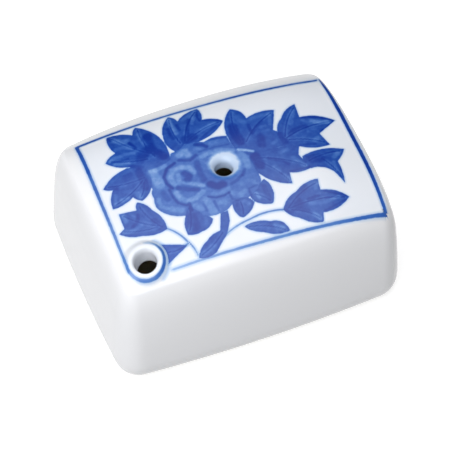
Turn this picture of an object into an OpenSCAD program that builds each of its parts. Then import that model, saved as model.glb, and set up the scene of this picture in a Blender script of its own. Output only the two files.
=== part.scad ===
// Calligraphy water dropper: a hollow porcelain block with a domed top. It has an air hole
// in the middle of the top, a lipped pour hole in one corner, and a peony spray in a frame.
// X runs along the length, Y from the front to the back and Z up. The origin is on the
// table, under the middle of the block.

/* [Body] */
// Length over the glaze, at the widest level
body_len = 60; // [52:1:70]
// Width over the glaze, at the widest level
body_wid = 45.6; // [40:0.2:54]
// Height from the table to the top of the dome
body_h = 30; // [27:0.5:36]
// Bow of the short sides in plan
end_bow = 0.8; // [0.3:0.1:1.6]
// Bow of the long sides in plan
side_bow = 1.2; // [0.4:0.1:2]
// Radius of the upright corners
corner_r = 5; // [3.5:0.5:7]
// Height of the widest level
belly_z = 5; // [4:0.2:7]
// How far the walls lean in, from the widest level to the top
wall_lean = 1.7; // [0.8:0.1:2.4]
// How far the walls tuck in, from the widest level down to the table
foot_tuck = 2.8; // [1.6:0.2:3.4]

/* [Dome] */
// Fall of the dome from its middle to the ends
end_fall = 3.3; // [2:0.1:4.6]
// Fall of the dome from its middle to the long sides
side_fall = 6.3; // [4:0.1:7]
// Fullness of the dome along the length, where 2 is a parabola
end_power = 2.4; // [2:0.1:4]
// Fullness of the dome along the width, where 2 is a parabola
side_power = 4.2; // [3:0.1:5]
// Height of the rounding under the top edge
edge_drop = 7; // [4:0.5:8]
// Run of the rounding inside the top edge
edge_run = 1.5; // [1:0.1:2.5]

/* [Shell] */
// Thickness of the glaze
glaze_t = 0.25; // [0.15:0.05:0.4]
// Thickness of the cast walls and roof
wall_t = 2.4; // [1.8:0.2:3]
// Thickness of the base slab over its recess
slab_t = 2.2; // [1.6:0.2:2.8]
// Thickness of the slip that joins the walls to the slab
slip_t = 0.4; // [0.2:0.1:0.8]
// Width of the slip pressed out inside the walls
slip_ooze = 0.6; // [0.2:0.1:1.2]
// Height of the bare foot ring
foot_h = 0.8; // [0.5:0.1:1.2]
// Width of the bare foot ring
foot_w = 3.2; // [2:0.2:5]
// Step from the edge of the slab in to the foot ring
foot_step = 0.3; // [0.1:0.1:0.8]
// Bare strip between the foot ring and the lower edge of the glaze
bare_h = 0.5; // [0.3:0.1:1]

/* [Holes] */
// Radius of the air hole
vent_r = 1.8; // [1.2:0.1:2.4]
// Air hole from the middle of the block, along the length
vent_x = -0.2; // [-1:0.1:1]
// Air hole from the middle of the block, along the width
vent_y = -0.4; // [-1:0.1:1]
// Radius of the dish round the air hole
vent_dish_r = 3.2; // [2.9:0.1:4]
// Depth of the dish round the air hole
vent_dish_h = 1.2; // [0.6:0.1:1.6]
// Radius of the pour hole
pour_r = 2.3; // [2:0.1:2.4]
// Pour hole to the end of the block
pour_end = 8.6; // [8:0.1:9.5]
// Pour hole to the front of the block
pour_front = 8.5; // [8:0.1:9.5]
// Lean of the pour hole towards the end, in degrees
pour_lean = 10; // [0:1:12]
// Height of the lip round the pour hole
lip_h = 0.7; // [0.4:0.1:1]
// Radius of the crest of the lip
lip_crest_r = 2.9; // [2.8:0.05:3.2]
// Radius of the foot of the lip
lip_foot_r = 4.2; // [4:0.1:4.6]

/* [Print] */
// Thickness of the printed colour
print_t = 0.06; // [0.04:0.01:0.1]
// Printed frame to the ends of the block
frame_end = 4.9; // [4.5:0.1:5.5]
// Printed frame to the long sides of the block
frame_side = 5.8; // [5.4:0.1:6.4]
// Width of the frame line
frame_line = 0.6; // [0.3:0.1:0.9]
// Width of the drawn stems and petal edges
drawn_line = 0.34; // [0.2:0.02:0.5]
// Shift of the print along the length
print_x = 0.9; // [0:0.1:1.2]
// Shift of the print towards the back
print_y = -1; // [-1.2:0.1:0]
// Turn of the print, in degrees
print_turn = -1.9; // [-3:0.1:0]

/* [Hidden] */

PORCELAIN = "#f1efe9";
GLAZE = "#e8edf6";
BLUE = "#24429c";
PALE_BLUE = "#7d93d2";
FINE = 96;

// Heights of the pieces over the table
slab_z = foot_h + slab_t;
wall_z = slab_z + slip_t;
glaze_z = foot_h + bare_h;
// Rise of the walls from the widest level to the top edge, on average
wall_rise = body_h - (end_fall + side_fall)/2 - belly_z;
// Insets from the finished surface, in plan
cavity_in = glaze_t + wall_t;
foot_in = glaze_t + tuck_in(foot_h) + foot_step;
// Places of the two holes
vent_at = [vent_x, vent_y];
pour_at = [pour_end - body_len/2, pour_front - body_wid/2];
// Room that cuts take beyond the faces they pass
CLEAR = 1;

// Steps of an outline's quarter: along the short side, round the corner, along the long side
END_STEPS = 4;
CORNER_STEPS = 6;
SIDE_STEPS = 6;
LEAST_R = 0.6;
DOME_STEPS = 9;
LIP_STEPS = 32;
LEAF_STEPS = 4;

function steps(from, to, count) = [for (i = [0:count]) from + (to - from)*i/count];
function flip(points) = [for (i = [len(points) - 1:-1:0]) points[i]];
function fan(ring, tip) = [for (i = [0:len(ring) - 1]) [ring[i], tip, ring[(i + 1) % len(ring)]]];
function mean(points) = [for (p = points) 1]*points/len(points);

// Rectangle of half sizes a and b with bowed sides and round corners, as points all round.
// Each side is an arc, and each corner arc meets the two beside it smoothly.
function bowed(a, b, bow_a, bow_b, r) = let (
    ra = (b*b + bow_a*bow_a)/(2*bow_a),
    rb = (a*a + bow_b*bow_b)/(2*bow_b),
    ca = a - ra,
    cb = b - rb,
    apart = norm([ca, cb]),
    along = ((ra - r)*(ra - r) - (rb - r)*(rb - r) + apart*apart)/(2*apart),
    aside = sqrt((ra - r)*(ra - r) - along*along),
    c = [ca - along*ca/apart - aside*cb/apart, along*cb/apart - aside*ca/apart],
    from = atan2(c.y, c.x - ca),
    to = atan2(c.y - cb, c.x),
    quarter = concat(
        [for (i = [0:END_STEPS - 1]) let (t = from*i/END_STEPS) [ca + ra*cos(t), ra*sin(t)]],
        [for (t = steps(from, to, CORNER_STEPS)) c + r*[cos(t), sin(t)]],
        [for (i = [1:SIDE_STEPS]) let (t = to + (90 - to)*i/SIDE_STEPS) [rb*cos(t), cb + rb*sin(t)]]
    ),
    n = len(quarter) - 1
) concat(
    [for (i = [0:n - 1]) quarter[i]],
    [for (i = [n:-1:1]) [-quarter[i].x, quarter[i].y]],
    [for (i = [0:n - 1]) -quarter[i]],
    [for (i = [n:-1:1]) [quarter[i].x, -quarter[i].y]]
);

// Plan of the body at an inset from its widest level
function plan(inset) = bowed(
    body_len/2 - inset, body_wid/2 - inset, end_bow, side_bow, max(corner_r - inset, LEAST_R)
);

// Inset of the wall at height z, below the widest level
function tuck_in(z) = foot_tuck*(1 - sqrt(1 - pow(max(belly_z - z, 0)/belly_z, 2)));

// Height of the finished dome over a point of the plan
function dome_z(p) = body_h
    - end_fall*pow(abs(p.x)/(body_len/2), end_power)
    - side_fall*pow(abs(p.y)/(body_wid/2), side_power);

// Rings of the body, at depth d under its finished surface
function wall_ring(d, z) = [for (p = plan(d + tuck_in(z))) [p.x, p.y, z]];
function edge_ring(d, t) = let (
    lean = wall_lean*(1 - edge_drop*(1 - sin(t))/wall_rise)
) [
    for (p = plan(d + lean + edge_run*(1 - cos(t))))
        [p.x, p.y, dome_z(p) - edge_drop*(1 - sin(t)) - d*sin(t)]
];
function dome_ring(d, share) = [
    for (p = plan(d + wall_lean + edge_run)*share) [p.x, p.y, dome_z(p) - d]
];
function dome_rings(d) = [
    for (j = [0:DOME_STEPS - 1]) dome_ring(d, 1 - pow(j/DOME_STEPS, 1.6))
];
function top_rings(d) = concat([for (t = [0:15:75]) edge_ring(d, t)], dome_rings(d));
slab_levels = [for (share = [0, 0.22, 0.6, 1]) foot_h + slab_t*share];

// Triangles between rings of n points, seen from outside when the rings are stacked upwards
function bands(n, count) = [
    for (j = [0:count - 2], i = [0:n - 1])
        let (k = (i + 1) % n, low = j*n, high = low + n)
            each [[low + i, high + i, high + k], [low + i, high + k, low + k]]
];

// Solid through a stack of rings, closed at both ends
module loft(rings) {
    n = len(rings[0]);
    count = len(rings);
    first = [for (i = [0:n - 1]) i];
    last = [for (i = first) i + n*(count - 1)];
    points = concat([for (r = rings) each r], [mean(rings[0]), mean(rings[count - 1])]);
    polyhedron(points, concat(
        bands(n, count), fan(flip(first), n*count), fan(last, n*count + 1)
    ));
}

// Sheet of even thickness that lies on the finished dome
module dome_sheet(thick) {
    rings = dome_rings(0);
    n = len(rings[0]);
    base = concat([for (r = rings) each r], [mean(rings[len(rings) - 1])]);
    rim = [for (i = [0:n - 1]) i];
    upper = concat(bands(n, len(rings)), fan([for (i = rim) i + n*(len(rings) - 1)], len(base) - 1));
    polyhedron(
        concat([for (p = base) p + [0, 0, thick]], base),
        concat(
            upper,
            [for (f = upper) flip(f) + len(base)*[1, 1, 1]],
            [for (i = rim) let (k = (i + 1) % n, under = len(base))
                each [[i, k, k + under], [i, k + under, i + under]]]
        )
    );
}

// Ring of points round the pour hole, at height h over the dome
function lip_ring(r, h) = [
    for (i = [0:LIP_STEPS - 1])
        let (t = 360*(i + 0.5)/LIP_STEPS, p = pour_at + r*[cos(t), sin(t)]) [p.x, p.y, dome_z(p) + h]
];

// Lip round the pour hole, at depth d under its finished surface, rooted in the roof
module lip(d) {
    slope = lip_foot_r - lip_crest_r;
    root = 0.45;
    radii = steps(lip_foot_r, lip_crest_r, 4);
    loft(concat(
        [lip_ring(lip_foot_r + root, -root*lip_h*PI/2/slope - d)],
        [for (r = radii) lip_ring(r, lip_h*cos(90*(r - lip_crest_r)/slope) - d)],
        [lip_ring(lip_crest_r*0.8, lip_h - d)]
    ));
}

// Cut of the air hole, with a rounded dish above its bore
module vent_cut() {
    run = vent_dish_r - vent_r;
    over = 2;
    dish = [for (t = [0:18:72]) [vent_dish_r - run*cos(t), vent_dish_h*(sin(t) - 1)]];
    edge = dish[len(dish) - 1];
    slope = vent_dish_h*cos(72)/(run*sin(72));
    translate([vent_at.x, vent_at.y, dome_z(vent_at)])
        rotate_extrude($fn = FINE)
            polygon(concat(
                [[0, -cavity_in - CLEAR], [vent_r, -cavity_in - CLEAR]], dish,
                [edge + over*[1, slope], [0, edge.y + over*slope]]
            ));
}

// Cut of the pour hole, with a flare inside the crest of its lip
module pour_cut() {
    mouth = lip_crest_r - 0.06;
    translate([pour_at.x, pour_at.y, dome_z(pour_at)])
        rotate([0, -pour_lean, 0])
            translate([0, 0, -cavity_in - 2*CLEAR])
                cylinder(r = pour_r, h = cavity_in + 3*CLEAR, $fn = FINE);
    loft([
        lip_ring(pour_r - 0.2, -0.75), lip_ring(pour_r + 0.15, -0.2), lip_ring(pour_r + 0.3, lip_h - 0.4),
        lip_ring(mouth, lip_h), lip_ring(mouth + 0.5, lip_h + 0.5)
    ]);
}

// Outside of the block at depth d under its finished surface, from height z up
module block(d, levels) {
    loft(concat([for (z = levels) wall_ring(d, z)], top_rings(d)));
    lip(d);
}

module cavity() {
    loft(concat(
        [for (z = [slab_z - CLEAR, belly_z]) [for (p = plan(cavity_in)) [p.x, p.y, z]]],
        top_rings(cavity_in)
    ));
}

// Roof and walls, cast in one
module upper_casting() {
    color(PORCELAIN)
        difference() {
            block(glaze_t, [wall_z, belly_z]);
            cavity();
            vent_cut();
            pour_cut();
        }
}

// Slab that closes the bottom, with its bare foot ring
module base_slab() {
    color(PORCELAIN) {
        loft([for (z = slab_levels) wall_ring(glaze_t, z)]);
        linear_extrude(foot_h + slab_t/2)
            difference() {
                polygon(plan(foot_in));
                polygon(plan(foot_in + foot_w));
            }
    }
}

// Slip between the slab and the walls, pressed out a little inside
module slip_seam() {
    color(PORCELAIN)
        difference() {
            loft([wall_ring(glaze_t, slab_z), wall_ring(glaze_t, wall_z)]);
            translate([0, 0, slab_z - CLEAR])
                linear_extrude(slip_t + 2*CLEAR)
                    polygon(plan(cavity_in + slip_ooze));
        }
}

// Glaze over the roof and the walls, down to the bare strip above the foot
module glaze_coat() {
    color(GLAZE, 0.6)
        difference() {
            block(0, concat([glaze_z], [for (i = [2:3]) slab_levels[i]], [wall_z, belly_z]));
            block(glaze_t, concat(slab_levels, [wall_z, belly_z]));
            vent_cut();
            pour_cut();
        }
}

// Glaze in the recess under the slab
module base_glaze() {
    color(GLAZE)
        translate([0, 0, foot_h - glaze_t])
            linear_extrude(glaze_t)
                polygon(plan(foot_in + foot_w));
}

// The drawing's own frame: half its length and half its width
art = [25.1, 17];

// Leaves of the spray, as points at their tips and notches. The edge that starts at a point
// bows out by a tenth of its length, or by the share that is the point's third number.
LEAVES = [
    [[-10, 5.8, 0.14], [-13.5, 16.6], [-14.7, 14.5], [-19.4, 16.6], [-19.2, 11.5], [-21.7, 9.9], [-17.8, 7.1], [-15, 5]],
    [[-15, 5.2], [-18.5, 7], [-24, 4.3], [-22.3, 3.4], [-23.7, -0.8], [-19.4, 0.3], [-18.1, -1.3], [-15.5, 1]],
    [[-15.8, -9.2], [-17.2, -4], [-19.1, -1.3], [-19.8, -3, 0], [-23.1, -2.4, 0], [-23.2, -5.9, 0], [-24.4, -6.6], [-20.5, -8.8]],
    [[-8.6, 7.2], [-9.6, 11], [-6.8, 16.6], [-5.6, 14.5], [-0.9, 16.6], [-1.2, 13], [2.6, 11.3], [-3.6, 7.9, 0], [-6.5, 8.2]],
    [[2.2, 4.3, 0], [2, 7.8], [4.9, 13.8, 0.16], [7, 10.3], [12.9, 10.8, 0], [10.9, 6, 0], [11.6, 5.2, 0], [11.5, 1.6, 0], [4.4, 1.4, 0]],
    [[11.6, 5.2], [13.5, 8.3], [17.3, 11.2, 0], [17, 7.7], [23.5, 5.4, 0], [19.3, 2.8, 0], [20.2, -0.3], [14.4, 0.7], [11.5, 1.5]],
    [[4.4, 1.5, 0], [11.5, 1.6, 0], [14.2, 0.6, 0], [13.4, -1.2, 0], [14.6, -4.8], [10.2, -4.8, 0], [9.8, -7.4], [5, -3.9], [4.4, -1]],
    [[14, -1.8], [22.5, -2, 0.05], [20.1, -4.6, 0.05], [19.6, -9.7, 0], [18.6, -6.8, -0.15], [14.5, -5]],
    [[6.1, -12.4], [10, -9.3], [14.8, -7.7, 0], [14.4, -10.2], [19.3, -12.8], [13.3, -14.7, 0], [12.8, -16.3], [8.5, -14.6]],
    [[-2.1, -13.5], [3, -13.9, 0.2], [6, -16.4], [1, -15.4]],
    [[-10.6, -6.4], [-11.8, -8], [-12.6, -11.8], [-9.8, -12, 0.15], [-7.2, -10.2], [-8.6, -8.8]],
    [[-2.5, -8], [-2.3, -11.2], [-1.6, -11.7], [1.4, -9.3], [0.5, -7.8]],
    [[1.2, -7.6], [1.8, -9.3], [4.7, -10.5], [5.7, -7.4], [5, -4.9], [3.2, -6.6, 0]],
    [[-18, -11.9, 0], [-13.4, -13.7, 0], [-18, -15.9, 0], [-17.6, -13.8, 0]],
    [[-5.4, -9.6, 0], [-3.9, -9.4, 0], [-4.3, -11.5, 0], [-5.6, -13.9, 0], [-6.9, -13.6, 0]],
    [[-6.3, -13], [-9.5, -14], [-12.2, -16.6], [-8.8, -16.6, 0], [-6, -14.2, 0]]
];

// Petals of the blossom, drawn the same way
PETALS = [
    [[-15.4, 5], [-15.4, 0.4, 0], [-13.2, 0.4, 0], [-12.4, 3.1], [-10.4, 4.9, 0]],
    [[-9.6, 5.3, 0.2], [-7.6, 7.9, 0.1], [-3.4, 7.4, 0], [-4.8, 5, 0]],
    [[-3.1, 7.2, 0.15], [1.8, 7.2, 0.1], [1.8, 4.5, 0], [-3.6, 4.9, 0]],
    [[-12.2, 1.6, 0.2], [-9.6, 4.3, 0.15], [-5.6, 3.2, 0.15], [-5, 0.6, 0], [-8.4, -1, 0]],
    [[-13, 0, 0.1], [-9, -1.2, 0], [-5.4, -0.2, 0.2], [-5.6, -4.2, 0.2], [-10, -5.4, 0.2]],
    [[-15.6, -0.4, 0.2], [-15.9, -4.8, 0.2], [-11.6, -5.4, 0], [-13.2, -0.6, 0]],
    [[-15, -5.6, 0.15], [-12, -7.4, 0], [-10.9, -5.9, 0]],
    [[-9.8, -5.9, 0.1], [-8.6, -8.5, 0.1], [-6, -9.2, 0], [-5.6, -5.4, 0]],
    [[-5.2, -5.2, 0], [-5.6, -9.1, 0.1], [-2.8, -8.2, 0.1], [-2.6, -5, 0]],
    [[-2.2, -5, 0], [-2.4, -7.8, 0.1], [0.4, -7.5, 0.1], [3.2, -6.2, 0], [1, -3.6, 0]],
    [[1.4, -3.4, 0], [3.6, -6, 0.1], [4.1, -1.2, 0], [2.6, -1, 0]],
    [[2.4, 4, 0], [3.9, 1.2, 0], [4, -0.8, 0], [2.5, -0.6, 0]],
    [[-4.6, 4.6, 0], [1.8, 4.1, 0], [2, 2.4, 0], [-4.6, 1.4, 0]],
    [[-4.7, 1, 0], [-3, 1.6, 0], [-2.6, -4.6, 0], [-5.1, -4.8, 0]],
    [[-2.4, -2, 0], [2, -1.2, 0], [0.8, -3.2, 0], [-2.2, -4.6, 0]]
];

// Stems, and the edges drawn inside the blossom, as paths that bow the same way
LINES = [
    [[-16, -9, 0.06], [-13.2, -13, 0.06], [-12.2, -16]],
    [[-14, -13.6, 0], [-12.9, -13.4]],
    [[6.3, -12.4, -0.06], [-0.5, -12.4, -0.04], [-6, -14]],
    [[-12.6, 0.6, 0.2], [-10, 4.6, 0.2], [-5.2, 3.4]],
    [[-8.6, 2, 0.3], [-6.8, 0.2, 0.3], [-9.6, -0.4]],
    [[-11.4, -2.4, -0.25], [-7.6, -2.2, -0.25], [-5.2, -3]],
    [[-9.7, -5.6, -0.1], [-5.4, -5, -0.1], [-1, -5.4]]
];

// Points of an edge from a to b, without b, bowed to its left by a share of its length
function bow(a, b, share) = let (
    d = [b.x - a.x, b.y - a.y],
    side = [-d.y, d.x]
) [
    for (i = [0:(share == 0 ? 0 : LEAF_STEPS - 1)])
        let (s = i/LEAF_STEPS) [a.x, a.y] + s*d + 4*s*(1 - s)*share*side
];
function bow_share(p) = is_undef(p[2]) ? 0.1 : p[2];

// Outline through the points, where side is 1 if its edges bow to their left
function leaf(points, side) = [
    for (i = [0:len(points) - 1])
        each bow(points[i], points[(i + 1) % len(points)], side*bow_share(points[i]))
];
function turn(points) = sign([for (i = [0:len(points) - 1])
    let (a = points[i], b = points[(i + 1) % len(points)]) a.x*b.y - a.y*b.x
]*[for (p = points) 1]);
function path(points) = concat(
    [for (i = [0:len(points) - 2]) each bow(points[i], points[i + 1], bow_share(points[i]))],
    [[for (i = [0:1]) points[len(points) - 1][i]]]
);

// Line of even width along a path
module stroke(points) {
    n = len(points);
    sides = [for (i = [0:n - 1]) let (
        d = points[min(i + 1, n - 1)] - points[max(i - 1, 0)]
    ) [-d.y, d.x]/norm(d)*drawn_line/2];
    polygon(concat(points + sides, flip(points - sides)));
}

module outlines(shapes) {
    for (points = shapes) polygon(leaf(points, -turn(points)));
}

module lines() {
    for (points = LINES) stroke(path(points));
}

// Puts a flat drawing in place, stretched to the printed frame
module placed() {
    half = [body_len/2 - frame_end, body_wid/2 - frame_side];
    translate([print_x, print_y])
        rotate(print_turn)
            scale([half.x/art.x, half.y/art.y])
                children();
}

// Prints a flat drawing on the dome, clear of the dish and the lip
module printed() {
    intersection() {
        dome_sheet(print_t);
        linear_extrude(body_h + CLEAR)
            difference() {
                children();
                translate(vent_at) circle(vent_dish_r, $fn = FINE);
                translate(pour_at) circle(lip_foot_r, $fn = FINE);
            }
    }
}

// Frame line, which climbs round the lip of the pour hole
module border_print() {
    color(BLUE) {
        printed()
            placed()
                difference() {
                    polygon(bowed(art.x + frame_line/2, art.y + frame_line/2, 0.25, 0.05, 0.9));
                    polygon(bowed(art.x - frame_line/2, art.y - frame_line/2, 0.25, 0.05, 0.5));
                }
        intersection() {
            difference() {
                lip(-print_t);
                lip(0);
            }
            translate([pour_at.x, pour_at.y, 0])
                rotate_extrude($fn = FINE)
                    translate([lip_foot_r - frame_line - 0.15, 0])
                        square([frame_line + 0.15, body_h + CLEAR]);
        }
    }
}

// Drawn stems and petal edges
module line_print() {
    color(BLUE)
        printed()
            placed()
                difference() {
                    lines();
                    outlines(LEAVES);
                }
}

// Pale wash of the petals
module petal_wash() {
    color(PALE_BLUE)
        printed()
            placed()
                difference() {
                    outlines(PETALS);
                    lines();
                    outlines(LEAVES);
                }
}

// Dark wash of the leaves
module leaf_wash() {
    color(BLUE)
        printed()
            placed()
                outlines(LEAVES);
}

upper_casting();
base_slab();
slip_seam();
glaze_coat();
base_glaze();
border_print();
line_print();
petal_wash();
leaf_wash();
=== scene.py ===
"""Looks of a porcelain water dropper for calligraphy: glaze, printed films and bare foot."""

import math

import bmesh
import bpy
import numpy as np
from mathutils import Matrix, Vector
from mathutils.bvhtree import BVHTree

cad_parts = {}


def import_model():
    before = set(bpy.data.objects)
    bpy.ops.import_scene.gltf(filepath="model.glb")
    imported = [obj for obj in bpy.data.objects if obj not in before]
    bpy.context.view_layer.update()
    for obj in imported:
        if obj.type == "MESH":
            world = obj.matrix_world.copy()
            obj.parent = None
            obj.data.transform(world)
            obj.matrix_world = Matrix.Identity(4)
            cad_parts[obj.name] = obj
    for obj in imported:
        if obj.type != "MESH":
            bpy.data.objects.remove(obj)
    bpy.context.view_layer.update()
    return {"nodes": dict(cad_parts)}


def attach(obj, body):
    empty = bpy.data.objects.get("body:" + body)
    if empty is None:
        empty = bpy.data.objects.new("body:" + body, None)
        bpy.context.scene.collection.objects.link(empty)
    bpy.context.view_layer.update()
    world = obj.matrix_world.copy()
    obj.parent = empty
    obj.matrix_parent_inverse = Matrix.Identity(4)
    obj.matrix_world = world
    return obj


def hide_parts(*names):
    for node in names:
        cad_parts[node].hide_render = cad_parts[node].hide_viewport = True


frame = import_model()

MM = 0.001

# Sizes of the block, in millimetres. A pair gives the length first, then the width.
HALF = np.array([30.0, 22.8])
BODY_H = 30.0
BOW = (0.8, 1.2)
CORNER_R = 5.0
LEAST_CORNER_R = 0.6
BELLY_Z = 5.0
WALL_LEAN = 1.7
FOOT_TUCK = 2.8
FALL = (3.3, 6.3)
POWER = (2.4, 4.2)
EDGE_DROP = 7.0
EDGE_RUN = 1.5
WALL_RISE = BODY_H - sum(FALL) / 2 - BELLY_Z

# Softer rounding of the long walls: handles of its curve, as inset and height, and the share
# of it that the ends have
EDGE_HANDLE = (1.6, 1.15)
BELLY_HANDLE = (0, 19.0)
END_SHARE = 0.4

# Glaze: its lower edge, and the thickness of its skin
GLAZE_T = 0.25
GLAZE_Z = 1.3
SKIN_T = 0.15

# The air hole, with the round spot in the print that is left white about it
VENT = np.array([-0.2, -0.4])
VENT_R = 1.8
VENT_EDGE_R = 3.2
VENT_EDGE_H = 1.2
BARE_AT = VENT + (0.35, 0.55)
BARE_R = 3.0
BARE_FADE = 1.3

# Glaze in the bore of the air hole: how far it stands inside the wall, the depths of its
# rings, and the depth and width of its turned-out end
VENT_LINING = 0.06
VENT_DEPTHS = (0.4, 0.8, 1.3, 1.5)
VENT_END = 1.58
VENT_TURN = 0.3

# The pour hole
POUR = np.array([-21.4, -14.3])
POUR_R = 2.3
POUR_LEAN = math.radians(10)
POUR_FLARE = 1.2
LIP_H = 0.7
LIP_CREST = 2.9
LIP_FOOT = 4.7

# The same for the bore of the pour hole
POUR_LINING = 0.2
POUR_DEPTHS = (0.9, 1.4, 2.0, 2.5, 3.0, 3.3)
POUR_END = 3.5
POUR_TURN = 0.4

# The print's own frame, in the plan of the block
PRINT_AT = np.array([0.9, -1.0])
PRINT_TURN = math.radians(-1.9)


# Outline of the block in plan

# Steps of the outline along half an end, round a corner and along half a side
AROUND = (34, 8, 50)
SIDE_MIDDLE = sum(AROUND)


def quarter(half, r):
    """Points from the middle of an end, round the corner, to the middle of a long side."""
    a, b = half
    ra = (b * b + BOW[0] ** 2) / (2 * BOW[0])
    rb = (a * a + BOW[1] ** 2) / (2 * BOW[1])
    ca, cb = a - ra, b - rb
    apart = math.hypot(ca, cb)
    along = ((ra - r) ** 2 - (rb - r) ** 2 + apart ** 2) / (2 * apart)
    aside = math.sqrt((ra - r) ** 2 - along ** 2)
    cx = ca - along * ca / apart - aside * cb / apart
    cy = along * cb / apart - aside * ca / apart
    start, stop = math.atan2(cy, cx - ca), math.atan2(cy - cb, cx)
    end, corner, side = AROUND
    t = np.linspace(0, start, end, endpoint=False)
    parts = [np.c_[ca + ra * np.cos(t), ra * np.sin(t)]]
    t = np.linspace(start, stop, corner + 1)
    parts.append(np.c_[cx + r * np.cos(t), cy + r * np.sin(t)])
    t = np.linspace(stop, math.pi / 2, side + 1)[1:]
    parts.append(np.c_[rb * np.cos(t), cb + rb * np.sin(t)])
    return np.vstack(parts)


def plan(inset):
    """Outline of the block at an inset from its widest level."""
    q = quarter(HALF - inset, max(CORNER_R - inset, LEAST_CORNER_R))
    half = np.vstack([q, q[-2::-1] * (-1, 1)])
    return np.vstack([half, -half[1:-1]])


def tuck_in(z):
    """Inset of the walls below the belly, where they curve in towards the foot."""
    return FOOT_TUCK * (1 - math.sqrt(1 - (max(BELLY_Z - z, 0) / BELLY_Z) ** 2))


def facing():
    """How far each point of the outline faces the front or the back, from 0 to 1."""
    ring = plan(0)
    way = np.roll(ring, -1, 0) - np.roll(ring, 1, 0)
    return way[:, 0] ** 2 / (way ** 2).sum(1)


def soft_inset(z):
    """Inset of the long walls, which swell slowly from the top edge down to the belly."""
    edge = WALL_LEAN + EDGE_RUN
    start = np.array([edge, float(dome_z((0, HALF[1] - edge)))])
    points = (start, start - EDGE_HANDLE, np.array(BELLY_HANDLE), np.array([0, BELLY_Z]))
    t = np.linspace(1, 0, 61)[:, None]
    weights = ((1 - t) ** 3, 3 * (1 - t) ** 2 * t, 3 * (1 - t) * t ** 2, t ** 3)
    curve = sum(weight * point for weight, point in zip(weights, points))
    return float(np.interp(z, curve[:, 1], curve[:, 0]))


def wall_ring(inset, z):
    """Outline at a level of the upper walls, which are fuller at the front and back."""
    ring = plan(inset)
    extra = min(soft_inset(z[SIDE_MIDDLE]) - inset, 0)
    share = (END_SHARE + (1 - END_SHARE) * facing())[:, None]
    return np.c_[ring + share * (plan(inset + extra) - ring), z]


def dome_z(p):
    """Height of the glazed dome over points of the plan."""
    share = np.abs(np.asarray(p)) / HALF
    return BODY_H - FALL[0] * share[..., 0] ** POWER[0] - FALL[1] * share[..., 1] ** POWER[1]


def top_z(p):
    """Height of the top with the lip of the pour hole."""
    p = np.asarray(p, float)
    out = np.hypot(*(p - POUR).T) - LIP_CREST
    rise = 0.5 + 0.5 * np.cos(np.pi * np.clip(out / (LIP_FOOT - LIP_CREST), 0, 1))
    return dome_z(p) + LIP_H * rise


# Mesh helpers

def loop_edges(bm, loop):
    return [bm.edges.get((a, b)) for a, b in zip(loop, loop[1:] + loop[:1])]


def extruded(bm, loop, places):
    """Extrudes a closed loop of vertices once and moves the new loop to its places."""
    made = bmesh.ops.extrude_edge_only(bm, edges=loop_edges(bm, loop))["geom"]
    fresh = {v for v in made if isinstance(v, bmesh.types.BMVert)}
    new_loop = []
    for v in loop:
        twin = next(e.other_vert(v) for e in v.link_edges if e.other_vert(v) in fresh)
        new_loop.append(twin)
    for v, place in zip(new_loop, places):
        v.co = place
    return new_loop


def flat_gap(v, centre):
    """Distance of a vertex from a point of the plan."""
    return math.hypot(v.co.x - centre[0], v.co.y - centre[1])


def ring_of(bm, centre, radius):
    """Open edge of the mesh round a centre, in order, drawn to an exact radius."""
    rim = [v for v in bm.verts if v.is_boundary and flat_gap(v, centre) < radius + 1]
    rim.sort(key=lambda v: math.atan2(v.co.y - centre[1], v.co.x - centre[0]))
    for v in rim:
        d = np.array(v.co.xy) - centre
        spot = centre + d * radius / np.hypot(*d)
        v.co = (*spot, float(top_z(spot)))
    return rim


def finished(bm, name, finish, stands_for):
    """Turns a mesh in millimetres into a piece on the block."""
    mesh = bpy.data.meshes.new(name)
    bm.to_mesh(mesh)
    bm.free()
    mark_ink(mesh, finish is dish_glaze)
    mesh.transform(Matrix.Scale(MM, 4))
    for face in mesh.polygons:
        face.use_smooth = True
    mesh.materials.append(finish)
    piece = bpy.data.objects.new(name, mesh)
    bpy.context.scene.collection.objects.link(piece)
    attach(piece, "root")
    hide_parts(*stands_for)


# The drawing, in the print's own frame. An edge bows out by a tenth of its length, or by the
# share that is the third number of the point where it starts.

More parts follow.
